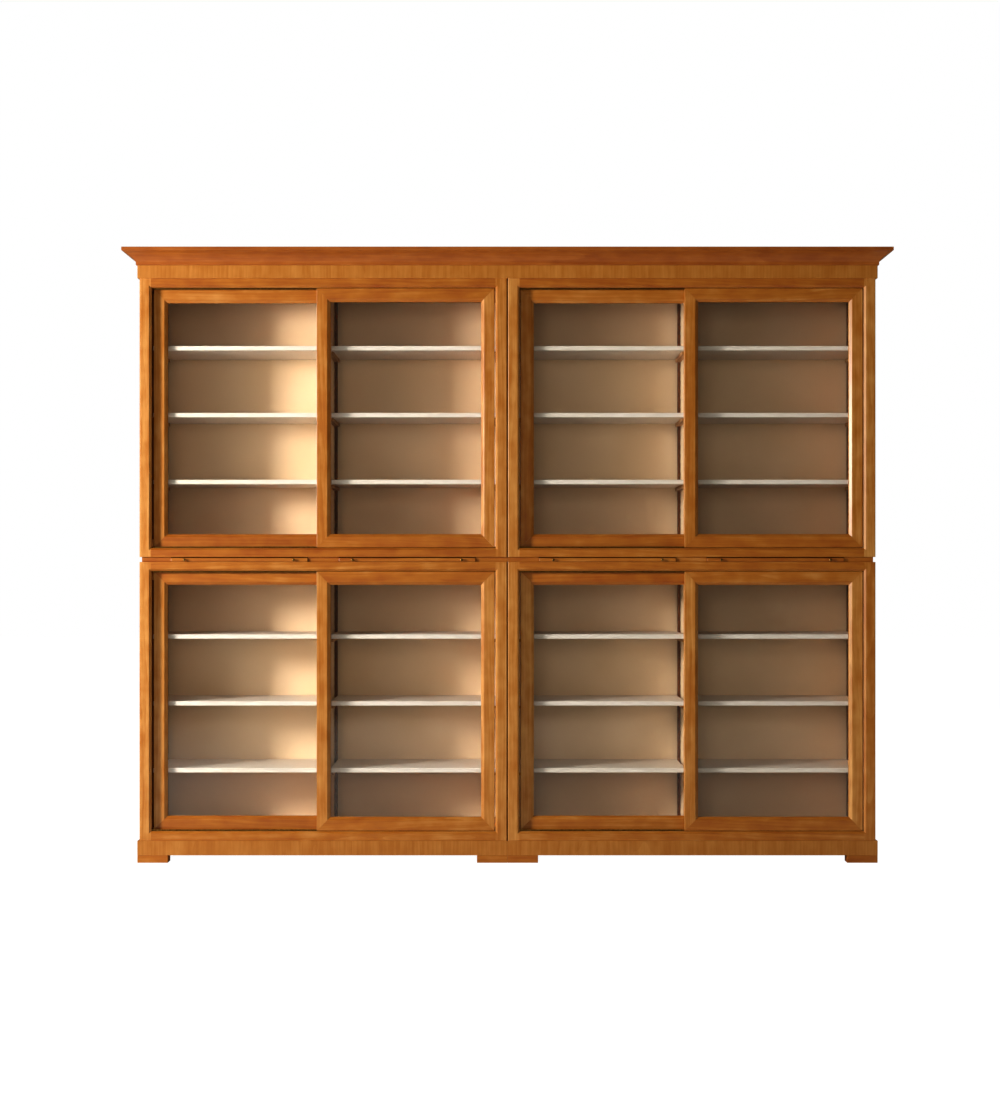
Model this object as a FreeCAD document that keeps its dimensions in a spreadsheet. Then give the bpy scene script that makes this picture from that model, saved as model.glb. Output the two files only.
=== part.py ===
"""Library bookcase: two columns of two stacked cases with bypass sliding glass doors.

The model stands on its feet at Z = 0, with its front towards -Y and the middle of its
width at X = 0. Lengths are millimetres. Every size is bound to the sheet of driving
dimensions, and each numbered case, door or column is built once in its own frame and
then placed as often as the bookcase has it.
"""

import FreeCAD, Part
import os

import Sketcher

DIMENSIONS = {
    # cases
    "case_width": 1474, "case_height": 1114, "case_depth": 400,
    "side_thickness": 30, "rail_height": 36, "frame_thickness": 22, "stile_width": 48,
    "frame_inset": 2, "edge_ease": 4, "opening_chamfer": 8,
    "inside_depth": 382, "back_thickness": 8,
    "divider_thickness": 16, "divider_setback": 62,
    # shelves on notched standards
    "shelf_thickness": 18, "shelf_depth": 310, "shelf_setback": 68, "shelf_end_gap": 13,
    "standard_length": 1000, "standard_width": 24, "standard_thickness": 12,
    "upper_standard_bottom": 72, "lower_standard_bottom": 41,
    "front_standard_setback": 80, "rear_standard_setback": 346,
    "notch_pitch": 38.6, "notch_depth": 10, "notch_rise": 34, "first_seat": 15.3,
    "cleat_width": 22, "cleat_height": 14, "cleat_entry": 5.5,
    # sliding doors and their tracks
    "door_gap": 4, "door_overlap": 54, "door_clearance": 2, "door_thickness": 22,
    "front_door_setback": 8, "rear_door_setback": 35,
    "member_width": 54, "bevel_width": 12, "bevel_depth": 10,
    "rebate_width": 10, "rebate_depth": 10, "glass_thickness": 4, "glass_edge_gap": 2,
    "bead_width": 9, "bead_depth": 6, "groove_width": 3.4, "groove_depth": 4,
    "track_base_width": 10, "track_base_height": 1.2, "rib_width": 2.4, "rib_height": 5.7,
    # band of pull-out reading boards between the tiers
    "band_height": 20, "band_inset": 10, "band_block_depth": 360, "band_rail_depth": 20,
    "board_width": 548, "board_thickness": 16, "board_depth": 330, "board_setback": 1,
    "board_lift": 0.5, "board_side_gap": 1, "board_centre_offset": 62, "board_ease": 3,
    "knob_radius": 6, "knob_length": 12, "knob_end_offset": 56,
    # frieze, crown and top
    "frieze_height": 52, "frieze_proud": 5, "frieze_thickness": 22,
    "crown_height": 64, "crown_projection": 52, "crown_seat": 18, "crown_foot": 5,
    "crown_foot_height": 13, "crown_fillet_height": 14, "crown_hollow": 3,
    "top_board_thickness": 18,
    # plinth and feet
    "plinth_height": 58, "plinth_proud": 5, "plinth_thickness": 22,
    "foot_width": 122, "foot_depth": 48, "foot_height": 30,
}

# Sizes worked out from the driving dimensions, as expressions on the sheet.
OPENING_HEIGHT = "(d.case_height - 2 * d.rail_height)"
OPENING_WIDTH = "(d.case_width - 2 * d.stile_width)"
INNER_WIDTH = "(d.case_width - 2 * d.side_thickness)"
PANEL_DEPTH = "(d.case_depth - d.frame_thickness)"
DIVIDER_LEFT = "(d.case_width / 2 - d.divider_thickness / 2)"
DIVIDER_RIGHT = "(d.case_width / 2 + d.divider_thickness / 2)"
RIGHT_WALL = "(d.case_width - d.side_thickness)"
SHELF_WIDTH = f"({DIVIDER_LEFT} - d.side_thickness - 2 * d.shelf_end_gap)"
DOOR_WIDTH = f"(({OPENING_WIDTH} - 2 * d.door_gap + d.door_overlap) / 2)"
DOOR_HEIGHT = f"({OPENING_HEIGHT} - 2 * d.door_clearance)"
FACE_Y = "((d.crown_projection + d.frieze_proud - d.case_depth) / 2)"
LEFT_X = "(-d.case_width)"
RIGHT_X = "0"
LOWER_Z = "(d.foot_height + d.plinth_height)"
BAND_Z = f"({LOWER_Z} + d.case_height)"
UPPER_Z = f"({BAND_Z} + d.band_height)"
FRIEZE_Z = f"({UPPER_Z} + d.case_height)"
CROWN_Z = f"({FRIEZE_Z} + d.frieze_height)"
HALF_FRIEZE = "(d.case_width + d.frieze_proud)"

CASES = {
    "upper_left": (LEFT_X, UPPER_Z, "d.upper_standard_bottom"),
    "upper_right": (RIGHT_X, UPPER_Z, "d.upper_standard_bottom"),
    "lower_left": (LEFT_X, LOWER_Z, "d.lower_standard_bottom"),
    "lower_right": (RIGHT_X, LOWER_Z, "d.lower_standard_bottom"),
}
COLUMNS = {"left": LEFT_X, "right": RIGHT_X}
SHELF_NOTCHES = (5, 12, 19)

document = FreeCAD.newDocument("library_bookcase")
sheet = document.addObject("Spreadsheet::Sheet", "d")
nodes = []


def fill_sheet():
    """Write each driving dimension and its alias."""
    for row, (alias, value) in enumerate(DIMENSIONS.items(), start=1):
        sheet.set(f"A{row}", alias)
        sheet.set(f"B{row}", str(value))
        sheet.setAlias(f"B{row}", alias)
    document.recompute()


def value_of(expression):
    """Give the present value of an expression on the sheet."""
    return float(sheet.evalExpression(expression.replace("d.", "")))


def place(piece, at):
    """Bind a piece's position to three expressions."""
    for axis, expression in zip("xyz", at):
        piece.setExpression(f"Placement.Base.{axis}", expression)


def box(name, size, at):
    """Make a rectangular board with its lowest corner at a point."""
    piece = document.addObject("Part::Box", name)
    for side, expression in zip(("Length", "Width", "Height"), size):
        piece.setExpression(side, expression)
    place(piece, at)
    return piece


def sketch_outline(name, body, plane_role, outline):
    """Draw a closed outline whose corners are bound to expressions."""
    sketch = body.newObject("Sketcher::SketchObject", name + "_outline")
    plane = next(item for item in body.Origin.OriginFeatures if item.Role == plane_role)
    sketch.AttachmentSupport = [(plane, "")]
    sketch.MapMode = "FlatFace"
    corners = [(value_of(across), value_of(up)) for across, up in outline]
    count = len(corners)
    for index in range(count):
        start = FreeCAD.Vector(*corners[index], 0)
        end = FreeCAD.Vector(*corners[(index + 1) % count], 0)
        sketch.addGeometry(Part.LineSegment(start, end), False)
    for index in range(count):
        following = (index + 1) % count
        sketch.addConstraint(Sketcher.Constraint("Coincident", index, 2, following, 1))
    for index, expressions in enumerate(outline):
        for kind, start, expression in zip(("DistanceX", "DistanceY"), corners[index], expressions):
            bound = sketch.addConstraint(Sketcher.Constraint(kind, index, 1, start))
            sketch.setExpression(f"Constraints[{bound}]", expression)
    return sketch


def prism(name, plane_role, outline, length, at=("0", "0", "0")):
    """Pad an outline: XY upwards, YZ towards +X, XZ towards +Y."""
    body = document.addObject("PartDesign::Body", name)
    pad = body.newObject("PartDesign::Pad", name + "_pad")
    pad.Profile = sketch_outline(name, body, plane_role, outline)
    pad.setExpression("Length", length)
    pad.Reversed = plane_role == "XZ_Plane"
    body.Tip = pad
    place(body, at)
    return body


def pocket_through(body, plane_role, outline, name):
    """Cut an outline through the whole body, both ways."""
    pocket = body.newObject("PartDesign::Pocket", name)
    pocket.Profile = sketch_outline(name, body, plane_role, outline)
    pocket.Type = 1
    pocket.Midplane = True
    body.Tip = pocket
    return pocket


def combine(kind, name, base, tool):
    """Cut a tool from a base, or keep what they share."""
    piece = document.addObject(kind, name)
    piece.Base = base
    piece.Tool = tool
    return piece


def sloped_recess(name, width, depth, limits):
    """A cutter that is widest at the front face and narrows to its limits at a depth."""
    wedge = document.addObject("Part::Wedge", name)
    wedge.setExpression("Ymin", "0")
    wedge.setExpression("Ymax", depth)
    for axis, (low, high) in limits.items():
        wedge.setExpression(f"{axis}min", f"{low} - {width}")
        wedge.setExpression(f"{axis}max", f"{high} + {width}")
        wedge.setExpression(f"{axis}2min", low)
        wedge.setExpression(f"{axis}2max", high)
    return wedge


def group(name, members, at=("0", "0", "0"), turn=0):
    """Gather separate solids, turned about Z and moved as one."""
    gathered = document.addObject("Part::Compound", name)
    gathered.Links = members
    gathered.Placement = FreeCAD.Placement(
        FreeCAD.Vector(), FreeCAD.Rotation(FreeCAD.Vector(0, 0, 1), turn)
    )
    place(gathered, at)
    return gathered


def node(label, members, at=("0", "0", "0")):
    """Make one named sub-part of the bookcase."""
    gathered = group(label, members, at)
    gathered.Label = label
    nodes.append(gathered)
    return gathered


def case_boards():
    """Side panels, top and bottom boards, back panel and centre divider of one case."""
    side = ("d.side_thickness", PANEL_DEPTH, "d.case_height")
    flat = (INNER_WIDTH, PANEL_DEPTH, "d.rail_height")
    top_z = "d.case_height - d.rail_height"
    return {
        "side_panels": [
            box("side_left", side, ("0", "d.frame_thickness", "0")),
            box("side_right", side, (RIGHT_WALL, "d.frame_thickness", "0")),
        ],
        "top_and_bottom": [
            box("bottom_board", flat, ("d.side_thickness", "d.frame_thickness", "0")),
            box("top_board", flat, ("d.side_thickness", "d.frame_thickness", top_z)),
        ],
        "back_panel": [
            box(
                "back_board",
                (INNER_WIDTH, "d.back_thickness", OPENING_HEIGHT),
                ("d.side_thickness", "d.inside_depth", "d.rail_height"),
            )
        ],
        "centre_divider": [
            box(
                "divider_board",
                ("d.divider_thickness", "d.inside_depth - d.divider_setback", OPENING_HEIGHT),
                (DIVIDER_LEFT, "d.divider_setback", "d.rail_height"),
            )
        ],
    }


def face_frame():
    """Two stiles and two rails, a little inside the case's sides, chamfered at the opening."""
    left_outline = [
        ("d.frame_inset + d.edge_ease", "0"), ("d.stile_width", "0"),
        ("d.stile_width", "d.frame_thickness"), ("d.frame_inset", "d.frame_thickness"),
        ("d.frame_inset", "d.edge_ease"),
    ]
    right_outline = [(f"d.stile_width - ({across})", depth) for across, depth in left_outline]
    far_x = "d.case_width - d.stile_width"
    far_z = "d.case_height - d.rail_height"
    rail = (OPENING_WIDTH, "d.frame_thickness", "d.rail_height")
    boards = {
        "stile_left": prism("stile_blank_left", "XY_Plane", left_outline, "d.case_height"),
        "stile_right": prism(
            "stile_blank_right", "XY_Plane", right_outline, "d.case_height", (far_x, "0", "0")
        ),
        "rail_bottom": box("rail_blank_bottom", rail, ("d.stile_width", "0", "0")),
        "rail_top": box("rail_blank_top", rail, ("d.stile_width", "0", far_z)),
    }
    chamfer = sloped_recess("opening_chamfer", "d.opening_chamfer", "d.opening_chamfer", {
        "X": ("d.stile_width", far_x), "Z": ("d.rail_height", far_z),
    })
    return [combine("Part::Cut", name, board, chamfer) for name, board in boards.items()]


def seat_height(notch):
    """Height of a notch's seat above the lower end of a standard."""
    return f"(d.first_seat + {notch} * d.notch_pitch)"


def shelf_boards():
    """Six shelves, with heights counted from the lower end of the standards."""
    size = (SHELF_WIDTH, "d.shelf_depth", "d.shelf_thickness")
    shelves = []
    for bay, left in enumerate(("d.side_thickness", DIVIDER_RIGHT), start=1):
        for notch in SHELF_NOTCHES:
            at = (f"{left} + d.shelf_end_gap", "d.shelf_setback", f"{seat_height(notch)} + d.cleat_height")
            shelves.append(box(f"shelf_{bay}_{notch}", size, at))
    return shelves


def notched_standard():
    """A saw-tooth strip: its notches open towards -Y and its seats face up."""
    outline = [
        ("0", "0"), ("d.standard_width", "0"),
        ("d.standard_width", "d.standard_length"), ("0", "d.standard_length"),
    ]
    notch = [
        ("0", "d.first_seat"), ("d.notch_depth", "d.first_seat"),
        ("0", "d.first_seat + d.notch_rise"),
    ]
    body = prism("standard", "YZ_Plane", outline, "d.standard_thickness")
    first = pocket_through(body, "YZ_Plane", notch, "standard_notch")
    pattern = body.newObject("PartDesign::LinearPattern", "standard_notches")
    pattern.Originals = [first]
    axis = next(item for item in body.Origin.OriginFeatures if item.Role == "Z_Axis")
    pattern.Direction = (axis, [""])
    spaces = int(
        (DIMENSIONS["standard_length"] - DIMENSIONS["first_seat"]) // DIMENSIONS["notch_pitch"]
    )
    pattern.Occurrences = spaces
    pattern.setExpression("Length", f"{spaces - 1} * d.notch_pitch")
    body.Tip = pattern
    return body


def standards_of_case(standard):
    """Eight standards: front and rear, on both walls and both faces of the divider."""
    lefts = (
        "d.side_thickness", f"{DIVIDER_LEFT} - d.standard_thickness",
        DIVIDER_RIGHT, f"{RIGHT_WALL} - d.standard_thickness",
    )
    strips = []
    for index, left in enumerate(lefts, start=1):
        rear_at = (left, "d.rear_standard_setback", "0")
        front_at = (f"{left} + d.standard_thickness", "d.front_standard_setback + d.standard_width", "0")
        strips.append(group(f"standard_rear_{index}", [standard], rear_at))
        strips.append(group(f"standard_front_{index}", [standard], front_at, turn=180))
    return strips


def cleats_of_case():
    """Twelve cleats: one under each end of each shelf, held in the notches."""
    front = "d.front_standard_setback + d.standard_width - d.cleat_entry"
    length = f"d.rear_standard_setback + d.cleat_entry - ({front})"
    size = ("d.cleat_width", length, "d.cleat_height")
    lefts = (
        "d.side_thickness", f"{DIVIDER_LEFT} - d.cleat_width",
        DIVIDER_RIGHT, f"{RIGHT_WALL} - d.cleat_width",
    )
    cleats = []
    for index, left in enumerate(lefts, start=1):
        for notch in SHELF_NOTCHES:
            cleats.append(box(f"cleat_{index}_{notch}", size, (left, front, seat_height(notch))))
    return cleats


def tracks_of_case():
    """Ribbed strips on the bottom opening edge and under the top one, for both doors."""
    strips = []
    edges = (("bottom", "", "d.rail_height"), ("top", "-", "d.case_height - d.rail_height"))
    for edge, sign, level in edges:
        outline = [
            ("-d.track_base_width / 2", "0"), ("d.track_base_width / 2", "0"),
            ("d.track_base_width / 2", f"{sign}d.track_base_height"),
            ("d.rib_width / 2", f"{sign}d.track_base_height"),
            ("d.rib_width / 2", f"{sign}d.rib_height"),
            ("-d.rib_width / 2", f"{sign}d.rib_height"),
            ("-d.rib_width / 2", f"{sign}d.track_base_height"),
            ("-d.track_base_width / 2", f"{sign}d.track_base_height"),
        ]
        for door in ("front", "rear"):
            at = ("d.stile_width", f"d.{door}_door_setback + d.door_thickness / 2", level)
            strips.append(prism(f"track_{edge}_{door}", "YZ_Plane", outline, OPENING_WIDTH, at))
    return strips


def door_ring():
    """The door frame before it is parted at its mitres."""
    far_x = f"{DOOR_WIDTH} - d.member_width"
    far_z = f"{DOOR_HEIGHT} - d.member_width"
    ring = box("door_blank", (DOOR_WIDTH, "d.door_thickness", DOOR_HEIGHT), ("0", "0", "0"))
    bevel = sloped_recess("door_bevel", "d.bevel_width", "d.bevel_depth", {
        "X": ("d.member_width", far_x), "Z": ("d.member_width", far_z),
    })
    sight = box(
        "door_sight",
        (f"{far_x} - d.member_width", "d.door_thickness", f"{far_z} - d.member_width"),
        ("d.member_width", "0", "d.member_width"),
    )
    rebate_start = "d.member_width - d.rebate_width"
    rebate = box(
        "door_rebate",
        (
            f"{far_x} - d.member_width + 2 * d.rebate_width", "d.rebate_depth",
            f"{far_z} - d.member_width + 2 * d.rebate_width",
        ),
        (rebate_start, "d.door_thickness - d.rebate_depth", rebate_start),
    )
    groove = (DOOR_WIDTH, "d.groove_width", "d.groove_depth")
    groove_y = "(d.door_thickness - d.groove_width) / 2"
    lower_groove = box("door_groove_low", groove, ("0", groove_y, "0"))
    upper_groove = box("door_groove_high", groove, ("0", groove_y, f"{DOOR_HEIGHT} - d.groove_depth"))
    for step, cutter in enumerate((bevel, sight, rebate, lower_groove, upper_groove), start=1):
        ring = combine("Part::Cut", f"door_ring_{step}", ring, cutter)
    return ring


def door_frame_members():
    """Two stiles and two rails, parted from the ring at 45-degree mitres."""
    ring = door_ring()
    near = "d.member_width"
    far_x = f"{DOOR_WIDTH} - d.member_width"
    far_z = f"{DOOR_HEIGHT} - d.member_width"
    wedges = {
        "rail_low": [("0", "0"), (DOOR_WIDTH, "0"), (far_x, near), (near, near)],
        "rail_high": [("0", DOOR_HEIGHT), (near, far_z), (far_x, far_z), (DOOR_WIDTH, DOOR_HEIGHT)],
        "stile_near": [("0", "0"), (near, near), (near, far_z), ("0", DOOR_HEIGHT)],
        "stile_far": [(DOOR_WIDTH, "0"), (DOOR_WIDTH, DOOR_HEIGHT), (far_x, far_z), (far_x, near)],
    }
    members = []
    for name, outline in wedges.items():
        mitre = prism(f"door_mitre_{name}", "XZ_Plane", outline, "d.door_thickness")
        members.append(combine("Part::Common", f"door_{name}", ring, mitre))
    return members


def door_beads():
    """Four glazing beads behind the glass, flush with the sight edge of the frame."""
    start = "d.member_width - d.bead_width"
    bead_y = "d.door_thickness - d.bead_depth"
    upright = f"{DOOR_HEIGHT} - 2 * d.member_width + 2 * d.bead_width"
    across = f"{DOOR_WIDTH} - 2 * d.member_width"
    far_x = f"{DOOR_WIDTH} - d.member_width"
    far_z = f"{DOOR_HEIGHT} - d.member_width"
    upright_size = ("d.bead_width", "d.bead_depth", upright)
    across_size = (across, "d.bead_depth", "d.bead_width")
    return [
        box("bead_left", upright_size, (start, bead_y, start)),
        box("bead_right", upright_size, (far_x, bead_y, start)),
        box("bead_low", across_size, ("d.member_width", bead_y, start)),
        box("bead_high", across_size, ("d.member_width", bead_y, far_z)),
    ]


def door_glass():
    """A clear pane that fills the rebate, less a small gap at each edge."""
    margin = "(d.member_width - d.rebate_width + d.glass_edge_gap)"
    pane_y = "d.door_thickness - d.rebate_depth"
    size = (
        f"{DOOR_WIDTH} - 2 * {margin}", "d.glass_thickness", f"{DOOR_HEIGHT} - 2 * {margin}",
    )
    return box("pane", size, (margin, pane_y, margin))


def band_frame(side):
    """Blocks and back rail that space the tiers and guide one column's reading boards."""
    middle = "d.case_width / 2"
    board_reach = "(d.board_centre_offset + d.board_width + d.board_side_gap)"
    start = "d.band_inset" if side == "left" else "0"
    end = "d.case_width" if side == "left" else "(d.case_width - d.band_inset)"
    spans = (
        (start, f"{middle} - {board_reach}"),
        (f"({middle} - d.board_centre_offset + d.board_side_gap)",
         f"{middle} + d.board_centre_offset - d.board_side_gap"),
        (f"({middle} + {board_reach})", end),
    )
    blocks = []
    for index, (low, high) in enumerate(spans, start=1):
        size = (f"{high} - {low}", "d.band_block_depth", "d.band_height")
        blocks.append(box(f"band_block_{side}_{index}", size, (low, "d.band_inset", "0")))
    rail_size = (f"{end} - {start}", "d.band_rail_depth", "d.band_height")
    rail_at = (start, "d.band_inset + d.band_block_depth", "0")
    return blocks + [box(f"band_rail_{side}", rail_size, rail_at)]


def reading_board():
    """A flat board with eased front edges."""
    outline = [
        ("d.board_ease", "0"), ("d.board_depth", "0"), ("d.board_depth", "d.board_thickness"),
        ("d.board_ease", "d.board_thickness"), ("0", "d.board_thickness - d.board_ease"),
        ("0", "d.board_ease"),
    ]
    return prism("board", "YZ_Plane", outline, "d.board_width")


def turned_knob():
    """A small turned knob that points towards -Y from the origin."""
    profile = [
        (0.0, 0.0), (0.7, 0.0), (0.7, 0.1), (0.42, 0.24), (0.42, 0.42), (0.85, 0.58),
        (1.0, 0.75), (0.85, 0.92), (0.45, 1.0), (0.0, 1.0),
    ]
    outline = [(f"{out} * d.knob_radius", f"-{along} * d.knob_length") for out, along in profile]
    body = document.addObject("PartDesign::Body", "knob")
    sketch = sketch_outline("knob", body, "XY_Plane", outline)
    turned = body.newObject("PartDesign::Revolution", "knob_turning")
    turned.Profile = sketch
    turned.ReferenceAxis = (sketch, ["V_Axis"])
    turned.Angle = 360
    body.Tip = turned
    return body


def knob_pair(name, knob):
    """Two knobs on the front edge of one reading board, in the board's frame."""
    height = "d.board_thickness / 2"
    near = group(f"{name}_near", [knob], ("d.knob_end_offset", "0", height))
    far = group(f"{name}_far", [knob], ("d.board_width - d.knob_end_offset", "0", height))
    return [near, far]


def frieze_boards():
    """A frieze box on the upper cases: front board, two returns and a taller back board."""
    full = f"2 * {HALF_FRIEZE}"
    behind = "d.frieze_thickness - d.frieze_proud"
    return_size = ("d.frieze_thickness", f"d.case_depth - ({behind})", "d.frieze_height")
    inner = f"{full} - 2 * d.frieze_thickness"
    back_height = "d.frieze_height + d.crown_height - d.top_board_thickness"
    back_size = (inner, "d.frieze_thickness", back_height)
    back_at = (f"-{HALF_FRIEZE} + d.frieze_thickness", "d.case_depth - d.frieze_thickness", "0")
    return [
        box("frieze_front", (full, "d.frieze_thickness", "d.frieze_height"),
            (f"-{HALF_FRIEZE}", "-d.frieze_proud", "0")),
        box("frieze_return_left", return_size, (f"-{HALF_FRIEZE}", behind, "0")),
        box("frieze_return_right", return_size, (f"{HALF_FRIEZE} - d.frieze_thickness", behind, "0")),
        box("frieze_back", back_size, back_at),
    ]


def crown_outline(face, outwards):
    """Section of the crown: a foot, a long shallow hollow and a square top edge."""
    rise = "(d.crown_height - d.crown_fillet_height - d.crown_foot_height)"
    run = "(d.crown_projection - d.crown_foot)"
    hollow = [
        (f"d.crown_foot + {run} * {part} - d.crown_hollow * {sag}",
         f"d.crown_foot_height + {rise} * {part} + d.crown_hollow * {sag}")
        for part, sag in ((0.0, 0.0), (0.25, 0.75), (0.5, 1.0), (0.75, 0.75), (1.0, 0.0))
    ]
    section = [
        ("-d.crown_seat", "0"), ("d.crown_foot", "0"), *hollow,
        ("d.crown_projection", "d.crown_height"), ("-d.crown_seat", "d.crown_height"),
    ]
    return [(f"{face} {outwards} ({out})", up) for out, up in section]


def crown_lengths():
    """Front length and two returns, mitred where they meet at the front corners."""
    beyond = "(d.crown_projection + 10)"
    inside = "(d.crown_seat + 10)"
    face = "(-d.frieze_proud)"
    front = prism(
        "crown_front", "YZ_Plane", crown_outline(face, "-"),
        f"2 * ({HALF_FRIEZE} + d.crown_projection)",
        (f"-{HALF_FRIEZE} - d.crown_projection", "0", "0"),
    )
    full = f"2 * ({HALF_FRIEZE} + d.crown_projection)"
    left_mitre = [
        (f"-{beyond} + d.crown_projection", f"{face} - {beyond}"),
        (f"{inside} + d.crown_projection", f"{face} + {inside}"),
        (f"-{beyond} + d.crown_projection", f"{face} + {inside}"),
    ]
    right_mitre = [(f"{full} - ({across})", along) for across, along in left_mitre]
    pocket_through(front, "XY_Plane", left_mitre, "crown_front_mitre_left")
    pocket_through(front, "XY_Plane", right_mitre, "crown_front_mitre_right")
    lengths = [front]
    for side, sign, outwards in (("left", "-", "-"), ("right", "", "+")):
        side_face = f"{sign}{HALF_FRIEZE}"
        outline = crown_outline(side_face, outwards)
        length = "d.case_depth + d.frieze_proud + d.crown_projection"
        start = f"{face} - d.crown_projection"
        body = prism(f"crown_return_{side}", "XZ_Plane", outline, length, ("0", start, "0"))
        corner = [
            (f"{side_face} {outwards} {beyond}", f"d.crown_projection - {beyond}"),
            (f"{side_face} {outwards} (-{inside})", f"d.crown_projection + {inside}"),
            (f"{side_face} {outwards} (-{inside})", f"d.crown_projection - {beyond}"),
        ]
        pocket_through(body, "XY_Plane", corner, f"crown_return_mitre_{side}")
        lengths.append(body)
    return lengths


def cornice_top():
    """The dust board that closes the top inside the crown."""
    half = f"({HALF_FRIEZE} - d.crown_seat)"
    front = "d.crown_seat - d.frieze_proud"
    size = (f"2 * {half}", f"d.case_depth - ({front})", "d.top_board_thickness")
    return box("dust_board", size, (f"-{half}", front, "d.crown_height - d.top_board_thickness"))


def plinth_boards(side):
    """Front, back and two side boards of the plinth under one column."""
    start = "(-d.plinth_proud)" if side == "left" else "0"
    end = "d.case_width" if side == "left" else "(d.case_width + d.plinth_proud)"
    board = "d.plinth_thickness"
    long_size = (f"{end} - {start}", board, "d.plinth_height")
    side_y = f"{board} - d.plinth_proud"
    side_size = (board, f"d.case_depth - {board} - ({side_y})", "d.plinth_height")
    return [
        box(f"plinth_front_{side}", long_size, (start, "-d.plinth_proud", "0")),
        box(f"plinth_back_{side}", long_size, (start, f"d.case_depth - {board}", "0")),
        box(f"plinth_near_{side}", side_size, (start, side_y, "0")),
        box(f"plinth_far_{side}", side_size, (f"{end} - {board}", side_y, "0")),
    ]


def block_feet():
    """Four block feet under each column, flush with the plinth."""
    size = ("d.foot_width", "d.foot_depth", "d.foot_height")
    feet = []
    for side, column_x in COLUMNS.items():
        outer = "-d.plinth_proud" if side == "left" else "0"
        inner = "d.case_width" if side == "left" else "d.case_width + d.plinth_proud"
        for place_name, left in (("a", outer), ("b", f"{inner} - d.foot_width")):
            for row, front in (("front", "-d.plinth_proud"), ("rear", "d.case_depth - d.foot_depth")):
                at = (f"{column_x} + {left}", front, "0")
                feet.append(box(f"foot_{side}_{place_name}_{row}", size, at))
    return feet


def build_cases():
    """Place the fixed pieces of the four cases."""
    boards = case_boards()
    frame = face_frame()
    shelves = shelf_boards()
    for case, (left, bottom, standard_bottom) in CASES.items():
        at = (left, FACE_Y, bottom)
        for part, members in boards.items():
            node(f"{case}_{part}", members, at)
        node(f"{case}_face_frame", frame, at)
        node(f"{case}_shelves", shelves, (left, FACE_Y, f"{bottom} + {standard_bottom}"))


def build_shelf_hardware():
    """Place the standards, cleats and door tracks of all four cases."""
    sets = {
        "shelf_standards": (standards_of_case(notched_standard()), True),
        "shelf_cleats": (cleats_of_case(), True),
        "door_tracks": (tracks_of_case(), False),
    }
    for label, (members, on_standards) in sets.items():
        copies = []
        for case, (left, bottom, standard_bottom) in CASES.items():
            height = f"{bottom} + {standard_bottom}" if on_standards else bottom
            copies.append(group(f"{label}_{case}", members, (left, FACE_Y, height)))
        node(label, copies)


def build_doors():
    """Place a rear and a front sliding door in each case."""
    frame = door_frame_members() + door_beads()
    glass = [door_glass()]
    rear_x = "d.stile_width + d.door_gap"
    front_x = f"d.case_width - d.stile_width - d.door_gap - {DOOR_WIDTH}"
    for case, (left, bottom, _) in CASES.items():
        height = f"{bottom} + d.rail_height + d.door_clearance"
        for door, across in (("rear", rear_x), ("front", front_x)):
            at = (f"{left} + {across}", f"{FACE_Y} + d.{door}_door_setback", height)
            node(f"{case}_{door}_door_frame", frame, at)
            node(f"{case}_{door}_door_glass", glass, at)


def build_band():
    """Place the spacer frames, the four reading boards and their knobs."""
    board = reading_board()
    knobs = knob_pair("knob", turned_knob())
    offsets = {
        "left": "d.case_width / 2 - d.board_centre_offset - d.board_width",
        "right": "d.case_width / 2 + d.board_centre_offset",
    }
    for side, column_x in COLUMNS.items():
        node(f"{side}_band_frame", band_frame(side), (column_x, FACE_Y, BAND_Z))
        for hand, offset in offsets.items():
            at = (
                f"{column_x} + {offset}", f"{FACE_Y} + d.board_setback", f"{BAND_Z} + d.board_lift",
            )
            name = f"{side}_column_{hand}_reading_board"
            node(name, [board], at)
            node(f"{name}_knobs", knobs, at)


def build_top_and_base():
    """Place the cornice, the plinths and the feet."""
    node("frieze", frieze_boards(), ("0", FACE_Y, FRIEZE_Z))
    node("crown_moulding", crown_lengths(), ("0", FACE_Y, CROWN_Z))
    node("cornice_top_board", [cornice_top()], ("0", FACE_Y, CROWN_Z))
    for side, column_x in COLUMNS.items():
        node(f"{side}_plinth", plinth_boards(side), (column_x, FACE_Y, "d.foot_height"))
    node("block_feet", block_feet(), ("0", FACE_Y, "0"))


def check_document():
    """Stop if any object failed, or if a sub-part has no sound solid."""
    for item in document.Objects:
        if "Invalid" in item.State or "Error" in item.State:
            raise RuntimeError(f"{item.Label} failed: {item.State}")
    for piece in nodes:
        if piece.Shape.isNull() or not piece.Shape.isValid() or not piece.Shape.Solids:
            raise RuntimeError(f"{piece.Label} has no valid solid")


def write_parts():
    """Write one file for each sub-part, named by its label."""
    os.makedirs("parts", exist_ok=True)
    for piece in nodes:
        piece.Shape.exportStep(f"parts/{piece.Label}.step")
        print(f"{piece.Label}: {len(piece.Shape.Solids)} solids, {piece.Shape.Volume / 1e6:.3f} litres")


fill_sheet()
build_cases()
build_shelf_hardware()
build_doors()
build_band()
build_top_and_base()
document.recompute()
check_document()
write_parts()
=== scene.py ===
"""Visual model of a library bookcase: two columns of two stacked cases with sliding glass doors.

Places come from the CAD frame. Boards and mouldings are rebuilt with eased edges and with
grain that follows each member. Glass, shelf standards, cleats and tracks keep their CAD shape.
"""

import logging
import math
import random
from collections.abc import Callable, Iterable, Sequence
from dataclasses import dataclass
from enum import Enum

import bmesh
import bpy
from mathutils import Matrix, Vector


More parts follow.
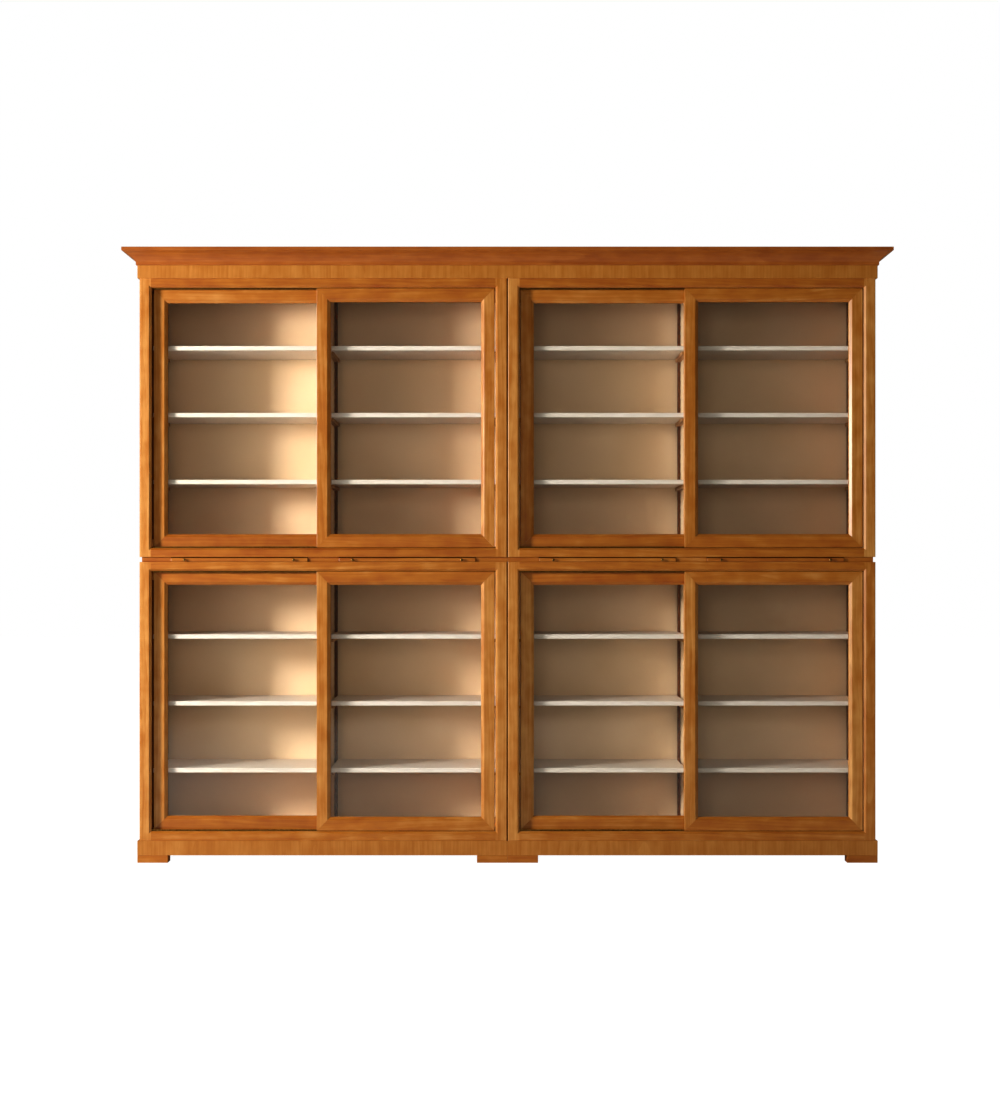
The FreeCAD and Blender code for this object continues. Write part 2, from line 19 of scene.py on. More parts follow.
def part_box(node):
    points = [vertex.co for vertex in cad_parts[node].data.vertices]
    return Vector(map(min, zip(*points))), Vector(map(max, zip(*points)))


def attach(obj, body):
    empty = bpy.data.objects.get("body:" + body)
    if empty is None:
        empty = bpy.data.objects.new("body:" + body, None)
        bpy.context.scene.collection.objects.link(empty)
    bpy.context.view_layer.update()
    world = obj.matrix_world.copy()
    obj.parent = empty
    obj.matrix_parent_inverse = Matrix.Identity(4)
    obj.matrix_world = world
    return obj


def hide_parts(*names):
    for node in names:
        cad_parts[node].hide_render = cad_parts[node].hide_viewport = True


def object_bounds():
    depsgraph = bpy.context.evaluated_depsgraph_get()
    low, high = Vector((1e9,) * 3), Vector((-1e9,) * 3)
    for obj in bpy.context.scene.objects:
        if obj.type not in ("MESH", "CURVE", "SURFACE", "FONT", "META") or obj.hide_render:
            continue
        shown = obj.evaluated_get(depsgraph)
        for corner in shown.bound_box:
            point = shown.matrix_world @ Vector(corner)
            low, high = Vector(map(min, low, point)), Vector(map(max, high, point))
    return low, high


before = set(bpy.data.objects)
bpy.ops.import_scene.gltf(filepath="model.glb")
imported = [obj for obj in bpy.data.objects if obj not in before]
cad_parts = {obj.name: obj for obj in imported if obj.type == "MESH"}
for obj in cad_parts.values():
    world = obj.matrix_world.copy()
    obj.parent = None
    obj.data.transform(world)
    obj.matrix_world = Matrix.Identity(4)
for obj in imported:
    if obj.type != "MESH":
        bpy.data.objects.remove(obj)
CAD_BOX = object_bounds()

log = logging.getLogger("bookcase")

MM = 0.001
CASES = ("upper_left", "upper_right", "lower_left", "lower_right")
COLUMNS = ("left", "right")
HANDS = ("left", "right")
DOORS = ("rear", "front")


class Axis(Enum):
    """A direction of the row frame that the grain of a board can follow."""

    X = 0
    Y = 1
    Z = 2

    def others(self) -> tuple[int, int]:
        """Give the two directions across this one."""
        first, second = (index for index in range(3) if index != self.value)
        return first, second


# ---------------------------------------------------------------- finishes


def linear(hex_colour: str) -> tuple[float, float, float, float]:
    """Turn an sRGB hex colour into the linear values that shaders take.

    Args:
        hex_colour: six hex digits, with or without a leading hash.

    Returns:
        Red, green, blue and an alpha of one.
    """
    digits = hex_colour.lstrip("#")
    values = []
    for start in (0, 2, 4):
        share = int(digits[start:start + 2], 16) / 255
        values.append(share / 12.92 if share <= 0.04045 else ((share + 0.055) / 1.055) ** 2.4)
    return values[0], values[1], values[2], 1.0


def add_node(
    tree: bpy.types.NodeTree,
    kind: str,
    inputs: dict[str | int, object] | None = None,
    **settings: object,
) -> bpy.types.Node:
    """Add a shader node with its settings, its input values and its links.

    Args:
        tree: the material's or world's node tree.
        kind: the node's type name, without the leading ShaderNode.
        inputs: values or output sockets, by the input's name or number.
        settings: properties of the node itself.

    Returns:
        The new node.
    """
    made = tree.nodes.new("ShaderNode" + kind)
    for name, value in settings.items():
        setattr(made, name, value)
    for key, value in (inputs or {}).items():
        socket = made.inputs[key]
        if isinstance(value, bpy.types.NodeSocket):
            tree.links.new(value, socket)
        else:
            socket.default_value = value
    return made


def blank_material(name: str) -> tuple[bpy.types.Material, bpy.types.NodeTree]:
    """Make an empty node material.

    Args:
        name: the material's name.

    Returns:
        The material and its node tree, which has only an output node.
    """
    material = bpy.data.materials.new(name)
    material.use_nodes = True
    material.node_tree.nodes.clear()
    material.node_tree.nodes.new("ShaderNodeOutputMaterial")
    return material, material.node_tree


def finish_material(tree: bpy.types.NodeTree, shader: bpy.types.Node) -> None:
    """Link a shader to the material's output."""
    tree.links.new(shader.outputs[0], tree.nodes["Material Output"].inputs["Surface"])


def colour_ramp(
    tree: bpy.types.NodeTree, factor: bpy.types.NodeSocket, stops: Sequence[tuple[float, str]]
) -> bpy.types.Node:
    """Add a colour ramp through several sRGB colours.

    Args:
        tree: the node tree.
        factor: what runs along the ramp.
        stops: positions from 0 to 1, each with its hex colour.

    Returns:
        The ramp node.
    """
    ramp = add_node(tree, "ValToRGB", {"Fac": factor})
    elements = ramp.color_ramp.elements
    while len(elements) < len(stops):
        elements.new(0.5)
    for element, (position, colour) in zip(elements, stops):
        element.position = position
        element.color = linear(colour)
    return ramp


def vector_math(
    tree: bpy.types.NodeTree, operation: str, first: object, second: object
) -> bpy.types.NodeSocket:
    """Add one step of vector arithmetic.

    Args:
        tree: the node tree.
        operation: the name of the step, such as ADD.
        first: a vector or the socket that gives it.
        second: the other vector or socket.

    Returns:
        The result.
    """
    return add_node(tree, "VectorMath", {0: first, 1: second}, operation=operation).outputs[0]


def noise(
    tree: bpy.types.NodeTree, place: bpy.types.NodeSocket, size: float, detail: float
) -> bpy.types.Node:
    """Add noise with features of one size.

    Args:
        tree: the node tree.
        place: where the noise is read.
        size: size of a feature, in the place's unit.
        detail: octaves of finer noise.

    Returns:
        The noise node.
    """
    return add_node(tree, "TexNoise", {"Vector": place, "Scale": 1 / size, "Detail": detail})


def drawn_noise(
    tree: bpy.types.NodeTree, place: bpy.types.NodeSocket, scale: Sequence[float], detail: float
) -> bpy.types.Node:
    """Add noise that is drawn out by its own amount in each direction.

    Args:
        tree: the node tree.
        place: where the noise is read, in metres.
        scale: features to the metre in each direction.
        detail: octaves of finer noise.

    Returns:
        The noise node.
    """
    drawn = add_node(tree, "Mapping", {"Vector": place, "Scale": scale})
    return noise(tree, drawn.outputs[0], 1.0, detail)


def surface(
    material: bpy.types.Material, colour: bpy.types.Node, sheen: bpy.types.NodeSocket,
    roughness: tuple[float, float], height: bpy.types.NodeSocket, relief: tuple[float, float],
    constants: dict[str | int, object],
) -> bpy.types.Material:
    """Finish a material that has varied roughness and a fine relief.

    Args:
        material: the material to finish.
        colour: the node that gives its colour.
        sheen: noise that varies the roughness.
        roughness: the roughness where that noise is lowest and highest.
        height: noise that gives the relief.
        relief: the relief's strength and its depth in metres.
        constants: shader inputs that are the same all over.

    Returns:
        The finished material.
    """
    tree = material.node_tree
    rough = add_node(
        tree, "MapRange", {"Value": sheen, "To Min": roughness[0], "To Max": roughness[1]}
    )
    bump = add_node(
        tree, "Bump", {"Height": height, "Strength": relief[0], "Distance": relief[1]}
    )
    inputs = {
        "Base Color": colour.outputs["Color"], "Roughness": rough.outputs["Result"],
        "Normal": bump.outputs["Normal"],
    }
    finish_material(tree, add_node(tree, "BsdfPrincipled", inputs | constants))
    return material


def shown_to_camera(
    tree: bpy.types.NodeTree, lighting: bpy.types.Node, shown: bpy.types.Node
) -> bpy.types.Node:
    """Mix two shaders: one that the camera sees and one that lights the room.

    Args:
        tree: the node tree.
        lighting: the shader for every other ray.
        shown: the shader for the camera's own rays.

    Returns:
        The mix node.
    """
    path = add_node(tree, "LightPath")
    return add_node(
        tree, "MixShader",
        {0: path.outputs["Is Camera Ray"], 1: lighting.outputs[0], 2: shown.outputs[0]},
    )


@dataclass(frozen=True)
class CherryFinish:
    """Cherry, planed, stained honey brown and sprayed with satin lacquer.

    The eye gets long soft streaks along the grain, faint growth rings, a blotchy sheen where
    the stain took unevenly, and a soft gloss on edges that face the light.
    """

    name: str
    dark: str
    middle: str
    light: str
    streak_width: float = 15 * MM
    streak_length: float = 420 * MM
    fibre_width: float = 3.0 * MM
    fibre_length: float = 130 * MM
    ring_width: float = 13 * MM
    blotch_size: float = 46 * MM
    figure: float = 1.0
    streak_share: float = 0.40
    fibre_share: float = 0.18
    blotch_share: float = 0.46
    ring_share: float = 0.09
    # share of each board's tone, which is random tone plus painted shade by grain direction
    board_share: float = 0.40
    wander_scale: tuple[float, float, float] = (1.6, 7.0, 7.0)
    wander_reach: tuple[float, float, float] = (0.0, 0.03, 0.03)
    roughness: tuple[float, float] = (0.32, 0.46)
    relief: tuple[float, float] = (0.12, 0.3 * MM)

    def grain_vector(self, tree: bpy.types.NodeTree) -> bpy.types.NodeSocket:
        """Give the place in the board's own grain, a little wandering.

        Args:
            tree: the node tree.

        Returns:
            The place in metres, the first number along the grain.
        """
        place = add_node(tree, "Attribute", attribute_name="grain").outputs["Vector"]
        wander = drawn_noise(tree, place, self.wander_scale, 2.0).outputs["Color"]
        centred = vector_math(tree, "SUBTRACT", wander, (0.5, 0.5, 0.5))
        sway = vector_math(tree, "MULTIPLY", centred, self.wander_reach)
        return vector_math(tree, "ADD", place, sway)

    def stretched_noise(
        self, tree: bpy.types.NodeTree, place: bpy.types.NodeSocket, length: float, width: float,
        detail: float,
    ) -> bpy.types.NodeSocket:
        """Add noise that is drawn out along the grain.

        Args:
            tree: the node tree.
            place: the place in the grain.
            length: real size of a feature along the grain, in metres.
            width: real size of a feature across the grain, in metres.
            detail: octaves of finer noise.

        Returns:
            The noise, from 0 to 1.
        """
        scale = (1 / length, 1 / width, 1 / width)
        return drawn_noise(tree, place, scale, detail).outputs["Fac"]

    def weighed(
        self, tree: bpy.types.NodeTree, total: bpy.types.NodeSocket | float,
        value: bpy.types.NodeSocket, weight: float,
    ) -> bpy.types.NodeSocket:
        """Add a value's difference from one half to a running total.

        Args:
            tree: the node tree.
            total: the total so far.
            value: the value to add, from 0 to 1.
            weight: how much the value counts.

        Returns:
            The new total.
        """
        centred = add_node(tree, "Math", {0: value, 1: 0.5}, operation="SUBTRACT")
        added = add_node(
            tree, "Math", {0: centred.outputs[0], 1: weight, 2: total}, operation="MULTIPLY_ADD"
        )
        return added.outputs[0]

    def build(self) -> bpy.types.Material:
        """Make the material.

        Returns:
            The finished material.
        """
        material, tree = blank_material(self.name)
        place = self.grain_vector(tree)
        streaks = self.stretched_noise(tree, place, self.streak_length, self.streak_width, 3.0)
        fibres = self.stretched_noise(tree, place, self.fibre_length, self.fibre_width, 2.0)
        blotches = self.stretched_noise(tree, place, 1.7 * self.blotch_size, self.blotch_size, 2.0)
        # a rings wave turns once in 2 pi / 20 of its scaled distance
        ring_scale = 2 * math.pi / 20 / self.ring_width
        rings = add_node(
            tree, "TexWave",
            {
                "Vector": place, "Scale": ring_scale, "Distortion": 1.2, "Detail": 1.5,
                "Detail Scale": 0.4,
            },
            wave_type="RINGS", rings_direction="X", wave_profile="SAW",
        )
        board = add_node(tree, "Attribute", attribute_name="board")
        shade: bpy.types.NodeSocket | float = 0.5
        for value, weight in (
            (streaks, self.figure * self.streak_share),
            (fibres, self.figure * self.fibre_share),
            (blotches, self.figure * self.blotch_share),
            (rings.outputs["Fac"], self.figure * self.ring_share),
            # the board attribute adds random board tone and painted shade: flat-grained boards
            # darker, upright ones lighter
            (board.outputs["Fac"], self.board_share),
        ):
            shade = self.weighed(tree, shade, value, weight)
        stops = ((0.12, self.dark), (0.50, self.middle), (0.88, self.light))
        colour = colour_ramp(tree, shade, stops)
        lacquer = {"IOR": 1.5, "Coat Weight": 0.25, "Coat Roughness": 0.22}
        return surface(material, colour, fibres, self.roughness, fibres, self.relief, lacquer)


@dataclass(frozen=True)
class VeneerFinish(CherryFinish):
    """Cherry veneer laid in upright leaves side by side, stained and lacquered.

    The eye gets short upright figure, with a change of tone at each joint between leaves.
    """

    leaf_width: float = 105 * MM
    leaf_shift: tuple[float, float, float] = (3.0, 0.8, 0.8)

    def grain_vector(self, tree: bpy.types.NodeTree) -> bpy.types.NodeSocket:
        """Give the place in the leaf's own grain: every leaf starts elsewhere in the log.

        Args:
            tree: the node tree.

        Returns:
            The place in metres, the first number along the grain.
        """
        shift = vector_math(tree, "MULTIPLY", self.leaf_colour(tree), self.leaf_shift)
        return vector_math(tree, "ADD", super().grain_vector(tree), shift)

    def leaf_colour(self, tree: bpy.types.NodeTree) -> bpy.types.NodeSocket:
        """Give one random colour to each leaf along the row frame's X.

        Args:
            tree: the node tree.

        Returns:
            The leaf's colour.
        """
        spot = add_node(tree, "TexCoord")
        parts = add_node(tree, "SeparateXYZ", {0: spot.outputs["Object"]})
        leaves = add_node(
            tree, "TexVoronoi", {"W": parts.outputs["X"], "Scale": 1 / self.leaf_width},
            voronoi_dimensions="1D",
        )
        return leaves.outputs["Color"]


@dataclass(frozen=True)
class LacquerFinish:
    """Board sprayed with satin cream lacquer.

    The eye gets an even pale surface with a faint orange-peel ripple and a soft broad sheen.
    """

    name: str
    colour: str
    shade: str
    ripple_size: float = 5 * MM
    cloud_size: float = 260 * MM
    roughness: tuple[float, float] = (0.36, 0.48)
    relief: tuple[float, float] = (0.10, 0.2 * MM)

    def build(self) -> bpy.types.Material:
        """Make the material.

        Returns:
            The finished material.
        """
        material, tree = blank_material(self.name)
        spot = add_node(tree, "TexCoord").outputs["Object"]
        clouds = noise(tree, spot, self.cloud_size, 3.0).outputs["Fac"]
        ripple = noise(tree, spot, self.ripple_size, 1.0).outputs["Fac"]
        colour = colour_ramp(tree, clouds, ((0.30, self.shade), (0.62, self.colour)))
        return surface(
            material, colour, ripple, self.roughness, ripple, self.relief, {"IOR": 1.48}
        )


@dataclass(frozen=True)
class PlainWoodFinish:
    """Sawn wood or plywood, stained or bare, with no lacquer.

    The eye gets a dull surface with straight streaks along one axis of the row frame.
    """

    name: str
    dark: str
    light: str
    along: Axis
    streak_width: float = 6 * MM
    streak_length: float = 160 * MM
    roughness: float = 0.6
    spread: float = 0.08
    relief: tuple[float, float] = (0.25, 0.3 * MM)

    def build(self) -> bpy.types.Material:
        """Make the material.

        Returns:
            The finished material.
        """
        material, tree = blank_material(self.name)
        spot = add_node(tree, "TexCoord").outputs["Object"]
        scale = [1 / self.streak_width] * 3
        scale[self.along.value] = 1 / self.streak_length
        streaks = drawn_noise(tree, spot, scale, 4.0).outputs["Fac"]
        colour = colour_ramp(tree, streaks, ((0.35, self.dark), (0.65, self.light)))
        roughness = (self.roughness - self.spread, self.roughness + self.spread)
        return surface(material, colour, streaks, roughness, streaks, self.relief, {})


@dataclass(frozen=True)
class BrassFinish:
    """Solid brass, drawn or turned, left to age under the hand.

    The eye gets a warm metal with darker cloudy patches and fine turning marks.
    """

    name: str
    bright: str
    tarnished: str
    cloud_size: float = 4 * MM
    mark_width: float = 0.6 * MM
    roughness: tuple[float, float] = (0.42, 0.24)
    relief: tuple[float, float] = (0.15, 0.1 * MM)

    def build(self) -> bpy.types.Material:
        """Make the material.

        Returns:
            The finished material.
        """
        material, tree = blank_material(self.name)
        spot = add_node(tree, "TexCoord").outputs["Object"]
        clouds = noise(tree, spot, self.cloud_size, 3.0).outputs["Fac"]
        marks = drawn_noise(tree, spot, (1.0, 1 / self.mark_width, 1.0), 1.0).outputs["Fac"]
        colour = colour_ramp(tree, clouds, ((0.38, self.tarnished), (0.60, self.bright)))
        return surface(
            material, colour, clouds, self.roughness, marks, self.relief, {"Metallic": 1.0}
        )


@dataclass(frozen=True)
class GlassFinish:
    """Float glass, 4 mm, clear with a trace of green.

    The eye sees the shelves through it, and a faint mirror of the room.
    """

    name: str
    tint: str

    def build(self) -> bpy.types.Material:
        """Make the material.

        Returns:
            The finished material.
        """
        material, tree = blank_material(self.name)
        shader = add_node(
            tree, "BsdfPrincipled",
            {
                "Base Color": linear(self.tint), "Roughness": 0.0, "IOR": 1.5,
                "Transmission Weight": 1.0,
            },
        )
        finish_material(tree, shader)
        return material


class Palette:
    """Every material of the bookcase, made once."""

    def __init__(self) -> None:
        """Build each finish."""
        self.cherry = CherryFinish(
            "cherry_stained_lacquered", dark="#97480B", middle="#B97627", light="#DEAA62"
        ).build()
        # a darker copy of the stained cherry: painted shade for the crown, whose slope faces down
        # away from the lamps
        self.crown_cherry_with_painted_shade = CherryFinish(
            "cherry_crown_stained_painted_shade", dark="#8A400A", middle="#AC6522", light="#CA8640"
        ).build()
        self.veneer = VeneerFinish(
            "cherry_veneer_leaves_lacquered", dark="#995510", middle="#B57529", light="#D39B50",
            streak_width=16 * MM, streak_length=260 * MM, figure=0.8,
        ).build()
        self.cream = LacquerFinish(
            "cream_satin_lacquer", colour="#E4D9D3", shade="#DED2C8"
        ).build()
        self.panel_cream = LacquerFinish(
            "buff_satin_lacquer", colour="#EFD5B6", shade="#E8CDAB"
        ).build()
        self.standard = PlainWoodFinish(
            "beech_dark_stained", dark="#4A2410", light="#75401D", along=Axis.Z
        ).build()
        self.cleat = PlainWoodFinish(
            "beech_cleat_planed", dark="#8A5A34", light="#B98A5C", along=Axis.Y
        ).build()
        self.backer = PlainWoodFinish(
            "plywood_back_sanded", dark="#A98358", light="#C6A478", along=Axis.X,
            streak_width=12 * MM, streak_length=420 * MM, roughness=0.7,
        ).build()
        self.track = BrassFinish(
            "brass_track_drawn", bright="#B08A4C", tarnished="#7A5A2C"
        ).build()
        self.knob = BrassFinish("brass_knob_turned", bright="#B58D50", tarnished="#5E4220").build()
        self.glass = GlassFinish("float_glass_clear", tint="#F6FBF8").build()


# ---------------------------------------------------------------- joinery


def eased_board(low: Vector, high: Vector, ease: float) -> bmesh.types.BMesh:
    """Make a board with all its arrises rounded over.

    Args:
        low: lowest corner, in metres.
        high: highest corner, in metres.
        ease: width of the rounding.

    Returns:
        The board as a bmesh in the row frame.
    """
    board = bmesh.new()
    bmesh.ops.create_cube(board, size=1.0)
    bmesh.ops.scale(board, vec=high - low, verts=board.verts)
    bmesh.ops.translate(board, vec=(low + high) / 2, verts=board.verts)
    bmesh.ops.bevel(
        board, geom=board.edges[:], offset=ease, offset_type="OFFSET", segments=2, profile=0.5,
        affect="EDGES", material=-1,
    )
    return board


def run_moulding(
    section: Sequence[tuple[float, float]], place: Matrix, length: float, ease: float
) -> bmesh.types.BMesh:
    """Run a section along a straight line and ease its sharp arrises.

    Args:
        section: corners of the section, in metres, in the place's X and Y.
        place: where the section stands; the moulding runs along its Z.
        length: how far it runs.
        ease: width of the rounding on each sharp long arris.

    Returns:
        The moulding as a bmesh in the row frame.
    """
    moulding = bmesh.new()
    corners = [moulding.verts.new((across, up, 0.0)) for across, up in section]
    start = moulding.faces.new(corners)
    drawn = bmesh.ops.extrude_face_region(moulding, geom=[start])
    far = [item for item in drawn["geom"] if isinstance(item, bmesh.types.BMVert)]
    bmesh.ops.translate(moulding, vec=Vector((0, 0, length)), verts=far)
    if start.is_valid and len(moulding.faces) == len(section) + 1:
        moulding.faces.new(reversed(corners))
    bmesh.ops.transform(moulding, matrix=place, verts=moulding.verts)
    bmesh.ops.recalc_face_normals(moulding, faces=moulding.faces)
    along = (place.to_3x3() @ Vector((0, 0, 1))).normalized()
    sharp = [
        edge for edge in moulding.edges
        if abs((edge.verts[1].co - edge.verts[0].co).normalized().dot(along)) > 0.99
        and edge.calc_face_angle_signed(0.0) > math.radians(30)
    ]
    if sharp:
        bmesh.ops.bevel(
            moulding, geom=sharp, offset=ease, offset_type="OFFSET", segments=2, profile=0.5,
            affect="EDGES", material=-1,
        )
    return moulding


def saw(moulding: bmesh.types.BMesh, point: Vector, towards: Vector) -> None:
    """Cut a moulding with a plane, drop what lies beyond it and close the cut.

    Args:
        moulding: the bmesh to cut.
        point: a point on the plane.
        towards: the plane's normal, which points at the waste.
    """
    cut = bmesh.ops.bisect_plane(
        moulding, geom=moulding.verts[:] + moulding.edges[:] + moulding.faces[:],
        plane_co=point, plane_no=towards, clear_outer=True,
    )
    rim = [item for item in cut["geom_cut"] if isinstance(item, bmesh.types.BMEdge)]
    bmesh.ops.contextual_create(moulding, geom=rim)
    bmesh.ops.dissolve_degenerate(moulding, dist=0.01 * MM, edges=moulding.edges[:])
    bmesh.ops.recalc_face_normals(moulding, faces=moulding.faces)


def separate_boxes(node: str) -> list[tuple[Vector, Vector]]:
    """Find the box of each solid in a CAD node whose solids don't touch.

    Args:
        node: the CAD node's name.

    Returns:
        Lowest and highest corner of each solid, from left to right, front to back and low to
        high.
    """
    copy = bmesh.new()
    copy.from_mesh(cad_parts[node].data)
    bmesh.ops.remove_doubles(copy, verts=copy.verts, dist=0.01 * MM)
    waiting = set(copy.verts)
    boxes = []
    while waiting:
        reached = [waiting.pop()]
        for vert in reached:
            for edge in vert.link_edges:
                other = edge.other_vert(vert)
                if other in waiting:
                    waiting.remove(other)
                    reached.append(other)
        low = Vector(min(vert.co[axis] for vert in reached) for axis in range(3))
        high = Vector(max(vert.co[axis] for vert in reached) for axis in range(3))
        boxes.append((low, high))
    copy.free()
    return sorted(boxes, key=lambda pair: tuple(round(value, 4) for value in pair[0]))


def absorb(body: bmesh.types.BMesh, part: bmesh.types.BMesh) -> None:
    """Copy one part into a body.

    Args:
        body: the bmesh that gathers the parts.
        part: the part, which is used up.
    """
    mesh = bpy.data.meshes.new("part")
    part.to_mesh(mesh)
    part.free()
    body.from_mesh(mesh)
    bpy.data.meshes.remove(mesh)


def stand_in(
    node: str, body: bmesh.types.BMesh, materials: Iterable[bpy.types.Material], rides: str,
) -> bpy.types.Object:
    """Make the object that stands for a CAD node.

    Args:
        node: the CAD node's name.
        body: the object's shape, which is used up.
        materials: its finishes, the first one for every face not marked.
        rides: the CAD body that it moves with.

    Returns:
        The piece's object.
    """
    mesh = bpy.data.meshes.new(f"{node}_visual")
    body.to_mesh(mesh)
    body.free()
    for material in materials:
        mesh.materials.append(material)
    piece = bpy.data.objects.new(f"{node}_visual", mesh)
    bpy.context.scene.collection.objects.link(piece)
    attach(piece, rides)
    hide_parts(node)
    log.info("%s: %d faces, rides on %s", piece.name, len(mesh.polygons), rides)
    return piece


class Joinery:
    """Gathers the boards and mouldings of one piece, and marks the grain on each.

    Cherry reflects least across its grain, so boards that lie flat to a lamp at the side look
    Each board draws its tone at random from the range for its grain, and the ranges hold painted
    shade: cherry reflects least across its grain, so boards that lie flat to a lamp at the side
    are painted darker than upright ones.
    """

    # painted shade: grain along X or Y gets the darker range and upright grain the lighter one;
    # the spread inside each range is random board tone
    GRAIN_TONES_WITH_PAINTED_SHADE = {Axis.X: (0.12, 0.52), Axis.Y: (0.12, 0.52), Axis.Z: (0.55, 0.95)}
    LOG_LENGTH = 40.0
    PITH_REACH = (60 * MM, 170 * MM)
    GRAIN_SLOPE = 0.05

    def __init__(self, node: str) -> None:
        """Start an empty piece.

        Args:
            node: the CAD node that it stands for, which also seeds where its boards lie in
                the log.
        """
        self.node = node
        self.dice = random.Random(f"{node}_visual")
        self.body = bmesh.new()

    def add(
        self, part: bmesh.types.BMesh, along: Axis,
        second_finish: Callable[[Vector], bool] | None = None,
    ) -> None:
        """Mark a board's grain and second finish, and add it to the piece.

        Args:
            part: the board, which is used up.
            along: the direction of its grain.
            second_finish: says, from a face's outward normal, whether the face has the piece's
                second finish.
        """
        part.normal_update()
        if second_finish is not None:
            for face in part.faces:
                face.material_index = int(second_finish(face.normal))
        grain = part.verts.layers.float_vector.new("grain")
        board = part.verts.layers.float.new("board")
        centre = sum((vert.co for vert in part.verts), Vector()) / len(part.verts)
        # this tone holds random board tone plus painted shade from the grain's direction
        tone = self.dice.uniform(*self.GRAIN_TONES_WITH_PAINTED_SHADE[along])
        start = self.dice.uniform(0.0, self.LOG_LENGTH)
        turn = self.dice.uniform(0.0, 2 * math.pi)
        from_pith = self.dice.uniform(*self.PITH_REACH)
        slope = self.dice.uniform(-self.GRAIN_SLOPE, self.GRAIN_SLOPE)
        first, second = along.others()
        for vert in part.verts:
            away = vert.co - centre
            vert[grain] = Vector((
                away[along.value] + start,
                away[first] + from_pith * math.cos(turn),
                away[second] + from_pith * math.sin(turn) + slope * away[along.value],
            ))
            vert[board] = tone
        absorb(self.body, part)

    def board(
        self, low: Vector, high: Vector, along: Axis, ease: float = 1.2 * MM,
        second_finish: Callable[[Vector], bool] | None = None,
    ) -> None:
        """Add a plain eased board between two corners."""
        self.add(eased_board(low, high, ease), along, second_finish)

    def finish(
        self, materials: Iterable[bpy.types.Material], rides: str
    ) -> bpy.types.Object:
        """Turn the gathered boards into the object that stands for the node."""
        return stand_in(self.node, self.body, materials, rides)


def dress(node: str, material: bpy.types.Material) -> bpy.types.Object:
    """Give a CAD node that keeps its shape a better material.

    Args:
        node: the CAD node's name.
        material: its new finish.

    Returns:
        The node's object.
    """
    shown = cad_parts[node]
    shown.data.materials.clear()
    shown.data.materials.append(material)
    log.info("%s: CAD shape kept, dressed in %s", node, material.name)
    return shown


def facing(direction: Vector) -> Callable[[Vector], bool]:
    """Say which faces look a given way, for a board's second finish."""
    return lambda normal: normal.dot(direction) > 0.5


# ---------------------------------------------------------------- sub-assemblies


